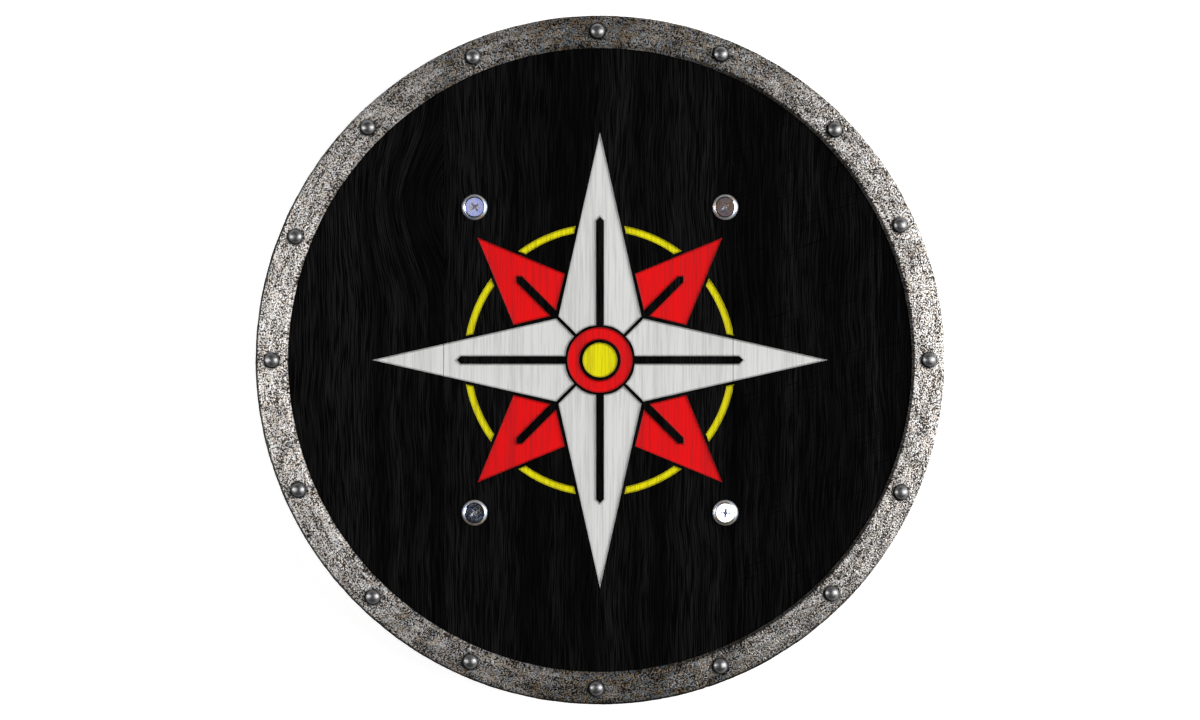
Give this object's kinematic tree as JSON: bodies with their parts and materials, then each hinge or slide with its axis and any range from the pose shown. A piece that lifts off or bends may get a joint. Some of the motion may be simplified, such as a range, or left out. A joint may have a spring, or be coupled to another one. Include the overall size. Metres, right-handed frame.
{
  "type": "round shield",
  "caption": "Round wooden shield with a riveted iron rim, a routed compass rose and two leather straps on the back.",
  "frame": {"origin": "on the ground, under the centre of the shield as it lies face up", "axes": "+Z out of the shield's face and up from the ground; +Y towards the top of the face; +X to the right of the face as seen from the front"},
  "size_m": [0.44, 0.44, 0.0526],
  "materials": {
    "black_wood": "planks stained black, satin; the compass rose in them is painted white, red and yellow",
    "rim_iron": "coarse, pitted and weathered",
    "rivet_steel": "dark, worn smooth",
    "bolt_zinc": "bright zinc plate",
    "strap_leather": "dark brown, waxed, stitched along its edges"
  },
  "bodies": {
    "root": {"plank_left": "black_wood", "plank_middle": "black_wood", "plank_right": "black_wood", "rim": "rim_iron", "rim_rivet_01": "rivet_steel", "rim_rivet_02": "rivet_steel", "rim_rivet_03": "rivet_steel", "rim_rivet_04": "rivet_steel", "rim_rivet_05": "rivet_steel", "rim_rivet_06": "rivet_steel", "rim_rivet_07": "rivet_steel", "rim_rivet_08": "rivet_steel", "rim_rivet_09": "rivet_steel", "rim_rivet_10": "rivet_steel", "rim_rivet_11": "rivet_steel", "rim_rivet_12": "rivet_steel", "rim_rivet_13": "rivet_steel", "rim_rivet_14": "rivet_steel", "rim_rivet_15": "rivet_steel", "rim_rivet_16": "rivet_steel", "strap_bolt_1": "bolt_zinc", "strap_bolt_2": "bolt_zinc", "strap_bolt_3": "bolt_zinc", "strap_bolt_4": "bolt_zinc", "strap_washer_1": "bolt_zinc", "strap_washer_2": "bolt_zinc", "strap_washer_3": "bolt_zinc", "strap_washer_4": "bolt_zinc", "strap_nut_1": "bolt_zinc", "strap_nut_2": "bolt_zinc", "strap_nut_3": "bolt_zinc", "strap_nut_4": "bolt_zinc", "arm_strap": "strap_leather", "hand_strap": "strap_leather"}
  },
  "joints": []
}
